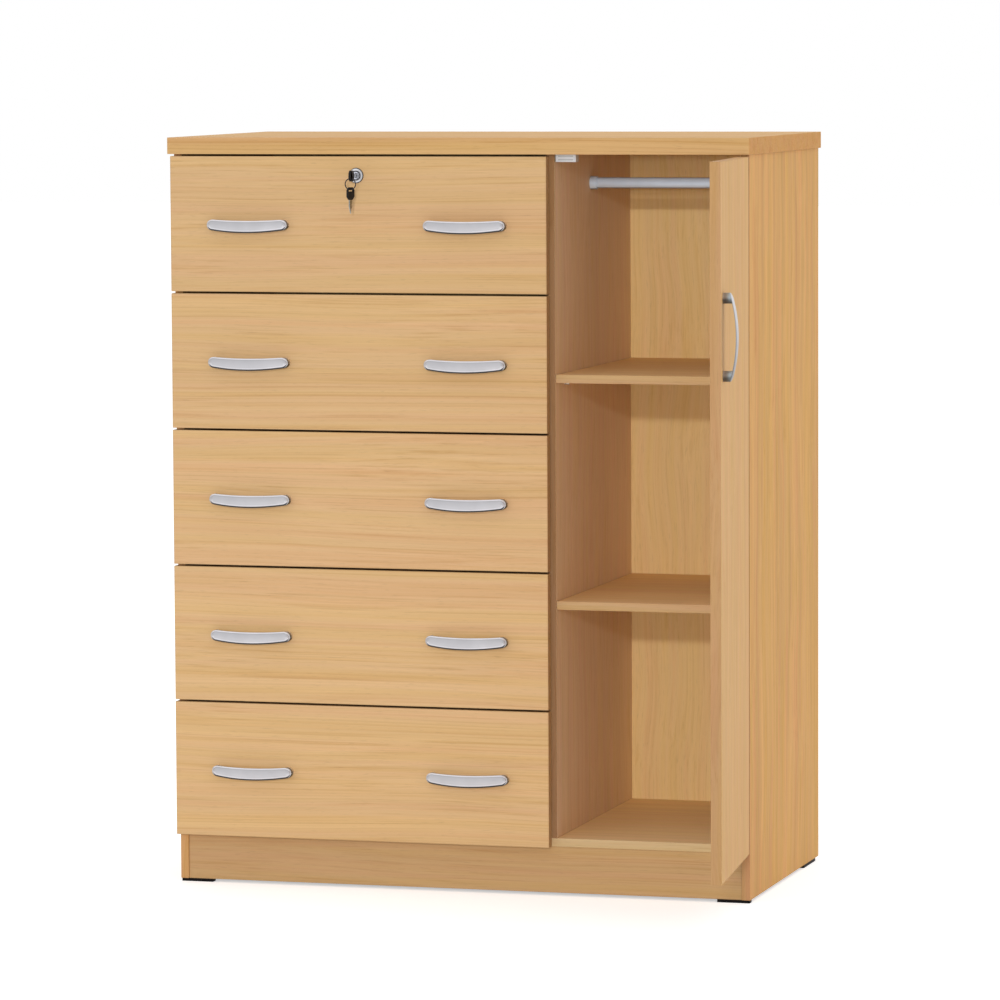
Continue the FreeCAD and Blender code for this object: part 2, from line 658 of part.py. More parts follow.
def drawer(number):
    name = f"drawer_{number}"
    low = front_bottom(number)
    box_low = f"({low} + drawer_lift)"
    box_high = f"({box_low} + drawer_side_high)"
    floor = f"({box_low} + drawer_bottom_up)"
    floor_top = f"({floor} + drawer_bottom_board)"
    floor_groove = (f"{floor} - groove_slack / 2", f"{floor_top} + groove_slack / 2")
    left_in, right_in = f"({BOX_LEFT} + board)", f"({BOX_RIGHT} - board)"
    reach = "(groove_deep - groove_end_gap)"
    sides_y = (FRONT_BACK_FACE, BOX_BACK)
    middle = runner_middle(number)
    rail_z = (f"{middle} - runner_high / 2 - runner_play", f"{middle} + runner_high / 2 + runner_play")

    front_y = (FRONT_FACE, FRONT_BACK_FACE)
    blank = box("front_blank", (LEFT, DRAWER_RIGHT), front_y, (low, f"{low} + {DRAWER_FRONT_HIGH}"))
    cuts = [box("front_groove", (f"{left_in} - groove_deep", f"{right_in} + groove_deep"),
                (f"{FRONT_BACK_FACE} - groove_deep", FRONT_BACK_FACE), floor_groove)]
    if number == 1:
        cuts.append(rod("lock_bore", "lock_barrel + lock_bore_slack", "front_board",
                        DRAWER_MID, FRONT_FACE, LOCK_Z, "y"))
    node(cut(f"{name}_front", blank, cuts))

    side = box("side", (BOX_LEFT, left_in), sides_y, (box_low, box_high))
    node(cut(f"{name}_left_side", side, [
        box("floor_groove", (f"{left_in} - groove_deep", left_in), sides_y, floor_groove),
        box("runner_groove", (BOX_LEFT, f"{BOX_LEFT} + {GROOVE_IN}"), sides_y, rail_z),
    ]))
    side = box("side", (right_in, BOX_RIGHT), sides_y, (box_low, box_high))
    node(cut(f"{name}_right_side", side, [
        box("floor_groove", (right_in, f"{right_in} + groove_deep"), sides_y, floor_groove),
        box("runner_groove", (f"{BOX_RIGHT} - {GROOVE_IN}", BOX_RIGHT), sides_y, rail_z),
    ]))
    node(box(f"{name}_back", (left_in, right_in), (f"{BOX_BACK} - board", BOX_BACK), (floor_top, box_high)))
    node(box(f"{name}_bottom", (f"{left_in} - {reach}", f"{right_in} + {reach}"),
             (f"{FRONT_BACK_FACE} - {reach}", BOX_BACK), (floor, floor_top)))
    handle_z = f"{low} + {DRAWER_FRONT_HIGH} / 2 - handle_drop"
    node(group(f"{name}_handles", [
        bow_handle("bow", f"{DRAWER_MID} + ({sign}) * handle_spacing / 2", FRONT_FACE, handle_z)
        for sign in (-1, 1)
    ]))


# ------------------------------------------------------------------------ lock

LOCK_Z = "(height - top_board - front_gap - lock_below_edge)"
LOCK_FACE = f"({FRONT_FACE} - lock_flange_board)"
LOCK_REAR = f"({FRONT_FACE} + lock_long)"
CAM_FRONT = f"({LOCK_REAR} + cam_gap)"


def lock_housing():
    """Turned barrel with a grooved flange and the plug's bore, about its own Z axis."""
    body = new_body("lock_housing")
    bore = "(plug_across + plug_play) / 2"
    flange = "lock_flange / 2"
    shape = outline(body, "HousingProfile", "XZ_Plane", [
        (bore, "-lock_flange_board + flange_groove_deep"),
        (f"{bore} + flange_groove / 2", "-lock_flange_board + flange_groove_deep"),
        (f"{bore} + flange_groove", "-lock_flange_board"),
        (f"{flange} - lock_flange_board / 2", "-lock_flange_board"),
        (flange, "-lock_flange_board / 2"),
        (flange, "0"),
        ("lock_barrel / 2", "0"),
        ("lock_barrel / 2", "lock_long"),
        (bore, "lock_long"),
    ])
    turned = body.newObject("PartDesign::Revolution", "Turned")
    turned.Profile = shape
    turned.ReferenceAxis = (shape, ["V_Axis"])
    turned.Angle = 360
    doc.recompute()
    body.Placement = Placement(Vector(), Rotation(Vector(1, 0, 0), -90))
    node(place(body, DRAWER_MID, FRONT_FACE, LOCK_Z))


def lock_plug():
    long = f"({CAM_FRONT} + cam_board - {LOCK_FACE})"
    plug = rod("plug", "plug_across", long, DRAWER_MID, LOCK_FACE, LOCK_Z, "y")
    keyway = box(
        "keyway",
        (f"{DRAWER_MID} - keyway_wide / 2", f"{DRAWER_MID} + keyway_wide / 2"),
        (LOCK_FACE, f"{LOCK_FACE} + key_blade_long - key_standoff + 2 * cam_gap"),
        (f"{LOCK_Z} - keyway_high / 2", f"{LOCK_Z} + keyway_high / 2"),
    )
    node(cut("lock_plug", plug, [keyway]))


def lock_cam():
    """The cam points sideways when the drawer is unlocked and up when it is locked."""
    arm = fuse("cam_arm", [
        rod("cam_eye", "cam_wide + plug_across", "cam_board", DRAWER_MID, CAM_FRONT, LOCK_Z, "y"),
        box("cam_bar", (f"{DRAWER_MID} - cam_long", DRAWER_MID), (CAM_FRONT, f"{CAM_FRONT} + cam_board"),
            (f"{LOCK_Z} - cam_wide / 2", f"{LOCK_Z} + cam_wide / 2")),
    ])
    hole = rod("cam_hole", "plug_across", "cam_board", DRAWER_MID, CAM_FRONT, LOCK_Z, "y")
    node(cut("lock_cam", arm, [hole]))


def key(label):
    """A flat key: bow behind the origin, pointed blade along +X, both in the XY plane."""
    body = new_body(label)
    half = "key_bow_wide / 2"
    corner = "key_bow_corner"
    end = "-key_bow_long"
    bow = outline(body, f"{label}_bow", "XY_Plane", [
        (f"{end} + {corner}", f"-{half}"), (f"-{corner}", f"-{half}"),
        ("0", f"-{half} + {corner}"), ("0", f"{half} - {corner}"),
        (f"-{corner}", half), (f"{end} + {corner}", half),
        (end, f"{half} - {corner}"), (end, f"-{half} + {corner}"),
    ])
    pad(body, bow, "key_bow_board", midplane=True)
    long, edge = "key_blade_long", "key_blade_wide / 2"
    step = "(key_blade_long / 6)"
    notch = "(key_blade_wide / 6)"
    blade = outline(body, f"{label}_blade", "XY_Plane", [
        ("-key_blade_wide / 2", f"-{edge}"), (f"3 * {step}", f"-{edge}"), (long, "0"),
        (f"4 * {step}", f"{edge} / 3"), (f"3 * {step}", edge),
        (f"2 * {step}", f"{edge} - {notch}"), (step, edge), ("-key_blade_wide / 2", edge),
    ])
    pad(body, blade, "key_blade_board", midplane=True)
    slot_x = (f"{end} + key_slot_in", f"{end} + key_slot_in + key_slot_wide")
    slot = rectangle(body, f"{label}_slot", "XY_Plane", slot_x, ("-key_slot_long / 2", "key_slot_long / 2"))
    pocket_through(body, slot)
    return body


BOW_FRONT = f"({LOCK_FACE} - key_standoff)"
RING_Y = f"({BOW_FRONT} - key_bow_long + key_slot_in + key_slot_wide / 2)"
RING_TOP = f"({LOCK_Z} - key_slot_long / 2 + ring_gap + ring_wire / 2)"
RING_BOTTOM = f"({RING_TOP} - ring_across)"


def keys_and_ring():
    """The key in the lock, the ring through its bow, and the spare key that hangs from the ring."""
    used = key("lock_key")
    used.Placement = Placement(Vector(), Rotation(Vector(0, 1, 0), Vector(0, 0, 1), Vector(1, 0, 0), "XYZ"))
    node(place(used, DRAWER_MID, BOW_FRONT, LOCK_Z))

    ring = doc.addObject("Part::Torus", "Ring")
    ring.Label = "key_ring"
    ring.Placement = Placement(Vector(), Rotation(Vector(1, 0, 0), 90))
    bind(ring, Radius1="ring_across / 2", Radius2="ring_wire / 2")
    node(place(ring, DRAWER_MID, RING_Y, f"{RING_TOP} - ring_across / 2"))

    spare = key("spare_key_blank")
    hang = f"({RING_BOTTOM} + ring_wire / 2 + spare_gap + key_slot_in - key_bow_long)"
    spare.Placement = Placement(Vector(), Rotation(Vector(0, 0, -1), Vector(0, 1, 0), Vector(1, 0, 0), "XYZ"))
    turned = group("spare_key", [place(spare, 0, 0, hang)])
    node(place(turned, DRAWER_MID, RING_Y, 0, Vector(0, 0, 1), "-spare_turn_angle"))


# ------------------------------------------------------------------------ make

side_panels()
partition()
bottom_panel()
top_panel()
back_panels()
plinth()
floor_glides()
shelves()
hanging_rail()
magnetic_catch()
door()
hinge_arms()
hinge_links()
cabinet_runners()
for drawer_number in range(1, DRAWERS + 1):
    drawer(drawer_number)
lock_housing()
lock_plug()
lock_cam()
keys_and_ring()
doc.recompute()

for thing in doc.Objects:
    if "Invalid" in thing.State or "Error" in thing.State:
        raise SystemExit(f"{thing.Name} ({thing.Label}) failed: {thing.State}")

for thing in nodes:
    if thing.Shape.isNull() or not thing.Shape.isValid():
        raise SystemExit(f"{thing.Label} has no valid shape")
for thing in nodes:
    thing.Shape.exportStep(f"parts/{thing.Label}.step")
print(len(nodes), "sub-parts,", sum(len(thing.Shape.Solids) for thing in nodes), "solids")
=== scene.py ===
"""Looks for the chifforobe: laminate, metal and plastic materials, bow handles with rounded rims, small
fasteners, lights, floor and camera."""
import json
import math

import bmesh
import bpy
from mathutils import Matrix, Vector


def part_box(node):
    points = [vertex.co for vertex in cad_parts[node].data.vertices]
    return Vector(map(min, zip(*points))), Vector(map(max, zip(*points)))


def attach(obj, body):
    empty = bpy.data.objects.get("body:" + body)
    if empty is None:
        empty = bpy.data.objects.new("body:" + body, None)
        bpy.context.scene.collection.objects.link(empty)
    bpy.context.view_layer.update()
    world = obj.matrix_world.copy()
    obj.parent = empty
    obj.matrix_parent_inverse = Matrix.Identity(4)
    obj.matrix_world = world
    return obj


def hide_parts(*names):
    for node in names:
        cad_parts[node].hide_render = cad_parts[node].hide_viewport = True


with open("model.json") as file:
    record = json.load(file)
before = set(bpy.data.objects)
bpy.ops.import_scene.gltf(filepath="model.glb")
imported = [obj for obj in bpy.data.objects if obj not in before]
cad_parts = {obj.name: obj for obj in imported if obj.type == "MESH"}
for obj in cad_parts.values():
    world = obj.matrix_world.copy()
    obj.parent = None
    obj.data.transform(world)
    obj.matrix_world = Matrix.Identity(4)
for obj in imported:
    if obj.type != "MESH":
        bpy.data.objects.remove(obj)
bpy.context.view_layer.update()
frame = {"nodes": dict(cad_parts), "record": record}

NODES = frame["nodes"]
SLOTS = {row["node"]: row["material_slot"] for row in frame["record"]["subparts"]}
DOOR_OPEN = math.radians(96)
X, Y, Z = (1, 0, 0), (0, 1, 0), (0, 0, 1)
BAND = 0.0009      # thickness of the edge banding
JOINT = 0.0003     # its glue line
JOINT_SHADE, GLUE = 0.35, (0.10, 0.06, 0.03, 1)
PLAIN_EDGE = (0.97, 0.97, 0.97)    # tone of the banding against the face
RELIEF = 0.0001    # height of the finest bumps

# ---------------------------------------------------------------- node graphs


def linear(red, green, blue):
    """An sRGB colour of 0 to 255 as linear RGBA."""
    channels = [value / 255 for value in (red, green, blue)]
    return [c / 12.92 if c <= 0.04045 else ((c + 0.055) / 1.055) ** 2.4 for c in channels] + [1.0]


def shade(colour, factor):
    return [c * factor for c in colour[:3]] + [1.0]


class Graph:
    """A node tree of one shader, with short calls for the nodes that the materials use."""

    def __init__(self, name):
        self.material = bpy.data.materials.new(name)
        self.material.use_nodes = True
        self.tree = self.material.node_tree
        self.tree.nodes.clear()
        self.shader = self.add("BsdfPrincipled")
        output = self.add("OutputMaterial")
        self.link(self.shader.outputs[0], output.inputs["Surface"])

    def add(self, kind, inputs=(), **settings):
        node = self.tree.nodes.new("ShaderNode" + kind)
        for key, value in settings.items():
            setattr(node, key, value)
        for key, value in dict(inputs).items():
            self.feed(node.inputs[key], value)
        return node

    def feed(self, socket, value):
        if isinstance(value, bpy.types.NodeSocket):
            self.link(value, socket)
        else:
            socket.default_value = value

    def link(self, source, target):
        self.tree.links.new(source, target)

    def set(self, **values):
        for key, value in values.items():
            self.feed(self.shader.inputs[key.replace("_", " ")], value)

    def mapped(self, scale=(1, 1, 1), offset=(0, 0, 0), turn=(0, 0, 0), source=None):
        source = source or self.add("TexCoord").outputs["Object"]
        return self.add("Mapping", {"Vector": source, "Scale": scale, "Location": offset,
                                    "Rotation": turn}).outputs[0]

    def noise(self, vector, detail=2.0, roughness=0.5):
        return self.add("TexNoise", {"Vector": vector, "Scale": 1.0, "Detail": detail,
                                     "Roughness": roughness})

    def math(self, operation, first, second):
        return self.add("Math", {0: first, 1: second}, operation=operation).outputs[0]

    def vector(self, operation, *values):
        node = self.add("VectorMath", dict(enumerate(values)), operation=operation)
        return node.outputs["Value"] if operation in ("DOT_PRODUCT", "LENGTH") else node.outputs[0]

    def remap(self, value, low, high, to_low=0.0, to_high=1.0):
        return self.add("MapRange", {"Value": value, "From Min": low, "From Max": high,
                                     "To Min": to_low, "To Max": to_high}).outputs[0]

    def blend(self, factor, first, second, kind="MIX"):
        node = self.add("Mix", {0: factor, 6: first, 7: second}, data_type="RGBA", blend_type=kind)
        return node.outputs[2]

    def ramp(self, value, *stops):
        node = self.add("ValToRGB", {0: value})
        stops = list(stops)
        elements = node.color_ramp.elements
        while len(elements) < len(stops):
            elements.new(0.5)
        for element, (position, tone) in zip(elements, stops):
            element.position = position
            element.color = (*tone, 1) if isinstance(tone, tuple) else (tone, tone, tone, 1)
        return node.outputs[0]

    def bump(self, height, strength, distance):
        return self.add("Bump", {"Height": height, "Strength": strength, "Distance": distance}).outputs[0]


FIGURE_PACE = {"x": 0.55, "y": 1.0, "z": 1.6}      # how soon the figure changes along the grain
# the foil's figures: waves a metre along the grain and across it, detail, roughness
DRIFT = (2.0, 7.0, 1.5)
FLAMES = (0.7, 38.0, 2.0)
HUES = (1.0, 60.0, 2.0)
STREAKS = (0.9, 150.0, 3.0, 0.62)
LINES = (1.8, 430.0, 2.0, 0.6)
FLECKS = (60.0, 900.0, 900.0)      # waves a metre alone: along the grain and both ways across it
WAVE = (0.0, 0.045, 0.045)     # how far the drift bends the figure
TINT_LIMIT = 1.6               # of the hues, where the broad figure is strong
FLAME_DEPTH = 0.03
GRAIN_TURN = {"x": (0, 0, 0), "y": (0, 0, math.radians(-90)), "z": (0, math.radians(90), 0)}


def span(node, direction):
    """Where a node's mesh starts and ends along a direction."""
    reach = [Vector(direction).dot(vertex.co) for vertex in NODES[node].data.vertices]
    return min(reach), max(reach)


def banding(graph, tone, node, face, edge_tone):
    """Edge banding: another tone on the narrow sides, and its thin joint along the rim of the wide ones."""
    across = Z if abs(face[2]) < 0.5 else X
    rim = None
    for direction in (across, tuple(Vector(face).cross(Vector(across)))):
        low, high = span(node, direction)
        if high - low < 4 * BAND:
            continue
        place = graph.vector("DOT_PRODUCT", graph.add("TexCoord").outputs["Object"], direction)
        near = graph.math("MINIMUM", graph.math("SUBTRACT", place, low), graph.math("SUBTRACT", high, place))
        rim = near if rim is None else graph.math("MINIMUM", rim, near)
    joint = graph.math("COMPARE", rim, BAND)
    joint.node.inputs[2].default_value = JOINT / 2
    normal = graph.add("TexCoord").outputs["Normal"]
    facing = graph.math("ABSOLUTE", graph.vector("DOT_PRODUCT", normal, face), 0.0)
    on_face = graph.remap(facing, 0.5, 0.8)
    joint = graph.math("MULTIPLY", joint, on_face)
    side = graph.blend(1.0, tone, (*edge_tone, 1.0), "MULTIPLY")
    tone = graph.blend(on_face, side, tone)
    return graph.blend(graph.math("MULTIPLY", joint, JOINT_SHADE), tone, GLUE)


def laminate(node, base, grain, seed, broad=1.0, fine=1.0, face=None, edge_tone=PLAIN_EDGE):
    """Beech-effect foil: slow flames, streaks, fine lines and short flecks along the grain.
    face is the direction across the board, whose narrow sides have banding."""
    graph = Graph(node + "_foil")
    along = graph.mapped(turn=GRAIN_TURN[grain], offset=(seed * 1.37, seed * 0.71, seed * 0.53))

    pace = FIGURE_PACE[grain]
    tint = min(broad, TINT_LIMIT)

    def figure(length, across, detail, roughness=0.5, source=None):
        scale = (length * pace, across, across)
        return graph.noise(graph.mapped(scale, source=source or waved), detail, roughness)

    def toned(strength, red, green, blue):
        return tuple(1 + strength * change for change in (red, green, blue))

    drift = figure(*DRIFT, source=along).outputs["Color"]
    centred = graph.vector("SUBTRACT", drift, (0.5, 0.5, 0.5))
    waved = graph.vector("MULTIPLY_ADD", centred, WAVE, along)
    flames = figure(*FLAMES).outputs[0]
    hues = figure(*HUES).outputs[0]
    streaks = figure(*STREAKS).outputs[0]
    lines = figure(*LINES).outputs[0]
    flecks = graph.noise(graph.mapped(FLECKS, source=waved), 1.0, 0.4).outputs[0]
    tone = graph.blend(graph.remap(flames, 0.34, 0.66), shade(base, 1 - FLAME_DEPTH * broad),
                       shade(base, 1 + FLAME_DEPTH * broad))
    tone = graph.blend(1.0, tone, graph.ramp(
        hues, (0.36, toned(tint, -0.01, -0.01, -0.10)), (0.50, 1.0), (0.64, toned(tint, 0.0, -0.05, -0.02))),
        "MULTIPLY")
    tone = graph.blend(1.0, tone, graph.ramp(
        streaks, (0.28, toned(fine, -0.07, -0.12, -0.20)), (0.42, toned(fine, -0.02, -0.04, -0.08)),
        (0.54, 1.0)), "MULTIPLY")
    tone = graph.blend(1.0, tone, graph.ramp(
        lines, (0.30, toned(fine, -0.10, -0.14, -0.21)), (0.46, 1.0), (0.56, 1.0),
        (0.70, toned(fine, 0.05, 0.05, 0.06))), "MULTIPLY")
    tone = graph.blend(0.45, tone, graph.ramp(flecks, (0.26, 0.80), (0.38, 1.0)), "MULTIPLY")
    if face is not None:
        tone = banding(graph, tone, node, face, edge_tone)
    relief = graph.math("ADD", graph.math("MULTIPLY", lines, 0.6), graph.math("MULTIPLY", flecks, 0.5))
    graph.set(Base_Color=tone, Roughness=graph.remap(streaks, 0.3, 0.7, 0.62, 0.52),
              Normal=graph.bump(relief, 0.2, RELIEF), IOR=1.45, Specular_IOR_Level=0.08)
    return graph


DARK_FIBRE, PALE_FIBRE = linear(116, 80, 52), linear(158, 116, 80)


def hardboard(node, base, seed):
    """Back board: beech print towards the inside, bare brown fibre behind."""
    graph = laminate(node, base, "z", seed, 0.7, 0.7)
    printed = graph.shader.inputs["Base Color"].links[0].from_socket
    fibres = graph.noise(graph.mapped((260.0, 260.0, 260.0)), 4.0, 0.7).outputs[0]
    stains = graph.noise(graph.mapped((9.0, 9.0, 9.0)), 2.0).outputs[0]
    bare = graph.blend(graph.remap(fibres, 0.3, 0.7), DARK_FIBRE, PALE_FIBRE)
    bare = graph.blend(0.4, bare, graph.ramp(stains, (0.3, 0.8), (0.7, 1.0)), "MULTIPLY")
    normal = graph.add("TexCoord").outputs["Normal"]
    behind = graph.remap(graph.vector("DOT_PRODUCT", normal, Y), 0.4, 0.6)
    graph.set(Base_Color=graph.blend(behind, printed, bare))
    return graph


def metal(name, colour, roughness, brushed=(60.0, 900.0, 900.0), wear=0.06, metallic=1.0):
    """Brushed or plated metal: faint tone clouds, drawn lines in the roughness, and a fine bump."""
    graph = Graph(name)
    drawn = graph.noise(graph.mapped(brushed), 2.0, 0.6).outputs[0]
    clouds = graph.noise(graph.mapped((35.0, 35.0, 35.0)), 2.0).outputs[0]
    tone = graph.blend(graph.remap(clouds, 0.3, 0.7), shade(colour, 1 - wear), shade(colour, 1 + wear / 2))
    graph.set(Base_Color=tone, Metallic=metallic,
              Roughness=graph.remap(drawn, 0.3, 0.7, roughness + 0.06, roughness - 0.04),
              Normal=graph.bump(drawn, 0.12, RELIEF / 2))
    return graph


def by_facing(graph, face, *stops):
    """The tone changes with how squarely the surface looks along a direction, either way."""
    tone = graph.shader.inputs["Base Color"].links[0].from_socket
    normal = graph.add("TexCoord").outputs["Normal"]
    facing = graph.math("ABSOLUTE", graph.vector("DOT_PRODUCT", normal, face), 0.0)
    graph.set(Base_Color=graph.blend(1.0, tone, graph.ramp(facing, *stops), "MULTIPLY"))
    return graph


def shaded_satin_handle(name, face, sides, edge):
    """Satin metal, with painted shade on its sides and on its rounded edge, by how squarely they look along
    the face direction.
    """
    return by_facing(metal(name, (0.50, 0.495, 0.52), 0.36, metallic=0.6), face,
                     (0.12, sides), (0.50, edge), (0.65, 1.0), (0.97, 1.0))


def by_tilt(graph, *stops):
    """The tone changes with how far the surface looks down, 0, or up, 1."""
    tone = graph.shader.inputs["Base Color"].links[0].from_socket
    tilt = graph.vector("DOT_PRODUCT", graph.add("TexCoord").outputs["Normal"], Z)
    graph.set(Base_Color=graph.blend(1.0, tone, graph.ramp(graph.remap(tilt, -1.0, 1.0), *stops), "MULTIPLY"))
    return graph


FLANGE_RADIUS = 0.011


def lock_face(name):
    """Chrome flange: painted shade in the groove around the plug and on the outer slope, with a bright rim
    between.
    """
    graph = metal(name, (0.70, 0.70, 0.72), 0.30, (300.0, 300.0, 300.0), 0.02, metallic=0.5)
    chrome = graph.shader.inputs["Base Color"].links[0].from_socket
    low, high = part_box("lock_plug")
    off_axis = graph.vector("SUBTRACT", graph.add("TexCoord").outputs["Object"], tuple((low + high) / 2))
    across = graph.vector("LENGTH", graph.vector("MULTIPLY", off_axis, (1, 0, 1)))
    # painted shade: dark in the groove round the plug and on the outer slope
    rings = graph.ramp(graph.remap(across, 0.0, FLANGE_RADIUS),
                       (0.640, 0.04), (0.665, 1.0), (0.885, 1.0), (0.915, 0.10))
    graph.set(Base_Color=graph.blend(1.0, chrome, rings, "MULTIPLY"))
    return graph


def plastic(name, colour, roughness, gloss=0.5):
    """Moulded plastic with a fine spark-eroded grain and a faint unevenness of tone."""
    graph = Graph(name)
    spark = graph.noise(graph.mapped((900.0, 900.0, 900.0)), 2.0, 0.6).outputs[0]
    clouds = graph.noise(graph.mapped((45.0, 45.0, 45.0)), 1.0).outputs[0]
    tone = graph.blend(graph.remap(clouds, 0.3, 0.7), shade(colour, 0.90), shade(colour, 1.08))
    graph.set(Base_Color=tone, Roughness=graph.remap(spark, 0.3, 0.7, roughness - 0.06, roughness + 0.08),
              Normal=graph.bump(spark, 0.25, RELIEF), IOR=1.49, Specular_IOR_Level=gloss)
    return graph


BOW_BLACK, BLADE_STEEL = (0.008, 0.008, 0.009), (0.30, 0.30, 0.28, 1)
BOW_ROUGHNESS, BLADE_ROUGHNESS = 0.45, 0.24


def key_finish(name, direction, limit):
    """Black plastic bow up to a level along a direction, plated steel beyond it."""
    graph = plastic(name, BOW_BLACK, BOW_ROUGHNESS)
    black = graph.shader.inputs["Base Color"].links[0].from_socket
    place = graph.vector("DOT_PRODUCT", graph.add("TexCoord").outputs["Object"], direction)
    blade = graph.math("GREATER_THAN", place, limit)
    graph.set(Base_Color=graph.blend(blade, black, BLADE_STEEL), Metallic=blade,
              Roughness=graph.remap(blade, 0.0, 1.0, BOW_ROUGHNESS, BLADE_ROUGHNESS), Specular_IOR_Level=0.2)
    return graph


# ---------------------------------------------------------------- camera

IMAGE_WIDTH = 1000
SENSOR = 36.0
FOCAL_PIXELS = 5461.2
CAMERA_AT = (2.2373, -7.73377, 1.24343)
CAMERA_YAW, CAMERA_PITCH, CAMERA_ROLL = (math.radians(v) for v in (16.15087, 4.90767, -0.29401))

camera = bpy.data.objects.new("camera", bpy.data.cameras.new("camera"))
camera.data.sensor_width = SENSOR
camera.data.lens = FOCAL_PIXELS * SENSOR / IMAGE_WIDTH
camera.data.clip_end = 100
camera.matrix_world = (
    Matrix.Translation(CAMERA_AT)
    @ Matrix.Rotation(CAMERA_YAW, 4, "Z")
    @ Matrix.Rotation(math.radians(90) - CAMERA_PITCH, 4, "X")
    @ Matrix.Rotation(CAMERA_ROLL, 4, "Z")
)
bpy.context.scene.collection.objects.link(camera)
bpy.context.scene.camera = camera

# ---------------------------------------------------------------- materials of the CAD nodes

# base colours, fitted to the photo under the lamps below: those inside the bay are written lighter for it, as
# painted light against the shade in the bay
FRONT = linear(215, 178, 132)
CARCASS = linear(213, 165, 103)
TOP = linear(210, 170, 118)
DOOR = linear(219, 176, 121)
INSIDE = linear(244, 214, 165)
PARTITION = linear(236, 207, 175)
BACK = linear(241, 209, 151)
SHELF = linear(240, 204, 152)
PLINTH = linear(199, 162, 117)
BOX = linear(224, 190, 146)
DOOR_FACE = (-math.sin(DOOR_OPEN), math.cos(DOOR_OPEN), 0)

# painted highlights along the rims above and below a drawer handle's face, a painted darker line inside the
# upper one, and painted shade on the underside
DRAWER_HANDLE_HIGHLIGHT_AND_SHADE = (
    (0.36, 0.09), (0.41, 0.13), (0.435, 1.5), (0.465, 1.35), (0.48, 1.08), (0.54, 0.90), (0.58, 0.72),
    (0.63, 1.5), (0.95, 1.6))
# painted shade on a door handle's underside and a painted highlight on its top
DOOR_HANDLE_HIGHLIGHT_AND_SHADE = ((0.37, 0.48), (0.50, 0.96), (0.63, 1.35))
# painted shade on the underside, painted highlights along the sides and a painted darker line along the top,
# as the rail shows them in the bay
RAIL_HIGHLIGHT_AND_SHADE = ((0.05, (0.42, 0.38, 0.36)), (0.14, (1.08, 1.05, 1.0)), (0.50, 1.03), (0.90, 0.98), (0.97, 0.72))

# node: (base colour, grain, direction across the board, strength of its broad and of its fine figure)
BOARDS = {
    "top_panel": (TOP, "x", Z, 1.0, 1.15),
    "left_side_panel": (CARCASS, "z", X, 2.7, 1.0),
    "right_side_panel": (CARCASS, "z", X, 2.7, 1.0),
    "partition_panel": (PARTITION, "z", X, 0.8, 0.8),
    "bottom_panel": (INSIDE, "x", Z, 0.8, 0.8),
    "upper_shelf": (SHELF, "x", Z, 0.8, 0.8),
    "lower_shelf": (SHELF, "x", Z, 0.8, 0.8),
    "plinth_front": (PLINTH, "x", Y, 0.9, 0.9),
    "plinth_rear": (PLINTH, "x", Y, 0.9, 0.9),
    "plinth_centre": (PLINTH, "y", X, 0.9, 0.9),
    "door_panel": (DOOR, "z", DOOR_FACE, 0.9, 0.9),
    "cabinet_runners": (linear(196, 160, 116), "y", None, 1.0, 1.2),
}
# tones of the narrow sides against the faces, matched to how the photo shows them: the partition's and the
# fronts' are painted shade, and those of the shelves and the bottom take back the painted light of their
# lightened faces
EDGE_TONES = {
    "door_panel": (0.72, 0.69, 0.75),
    "upper_shelf": (0.667, 0.625, 0.623),
    "lower_shelf": (0.667, 0.625, 0.623),
    "bottom_panel": (0.72, 0.70, 0.68),
    # painted shade: the partition's front edge is darkened like its shaded side in the bay
    "partition_panel": (0.40, 0.30, 0.22),
    "left_side_panel": (0.94, 0.93, 1.20),
    "right_side_panel": (0.80, 0.80, 1.0),
}
TOP_END_TONE = (0.98, 0.82, 0.61)
FRONT_PAINTED_LIGHT_STEP = 0.02
for number in range(1, 6):
    # painted light: the lower fronts are a little lighter, against the shade they get near the floor, as in
    # the photo
    BOARDS[f"drawer_{number}_front"] = (shade(FRONT, 1 + FRONT_PAINTED_LIGHT_STEP * (number - 3)), "x", Y, 0.75, 1.1)
    # painted shade: the fronts' edges are darkened so that the gaps between the fronts read as shade
    EDGE_TONES[f"drawer_{number}_front"] = (0.72, 0.69, 0.66)
    BOARDS[f"drawer_{number}_left_side"] = (BOX, "y", X, 0.8, 0.8)
    BOARDS[f"drawer_{number}_right_side"] = (BOX, "y", X, 0.8, 0.8)
    BOARDS[f"drawer_{number}_back"] = (BOX, "x", Y, 0.8, 0.8)
    BOARDS[f"drawer_{number}_bottom"] = (BOX, "x", Z, 0.7, 0.7)

FITTINGS = {
    # the drawer handles' sides carry near-black painted shade
    "handle_metal": by_tilt(shaded_satin_handle("satin_silver", Y, 0.11, 1.0), *DRAWER_HANDLE_HIGHLIGHT_AND_SHADE),
    "rail_metal": by_tilt(metal("rail_silver", (0.59, 0.70, 0.84), 0.42, (25.0, 900.0, 900.0), metallic=0.1),
                          *RAIL_HIGHLIGHT_AND_SHADE),
    "hinge_steel": metal("nickel", (0.64, 0.64, 0.62), 0.24, (400.0, 60.0, 400.0), metallic=0.75),
    "lock_chrome": metal("chrome", (0.72, 0.72, 0.74), 0.10, (300.0, 300.0, 300.0), 0.02),
    "lock_steel": metal("zinc_steel", (0.55, 0.55, 0.56), 0.28, (500.0, 500.0, 60.0)),
    "catch_grey": plastic("light_grey", linear(206, 208, 211), 0.40),
    "glide_black": plastic("black_glide", (0.006, 0.005, 0.005), 0.60, 0.1),
}
KEY_STANDOFF = 0.0119          # the lock's key is black from this far in front of the plug
SPARE_BLADE, HAIR = 0.020, 0.0001      # the spare key is steel up to a hair below its blade's upper end
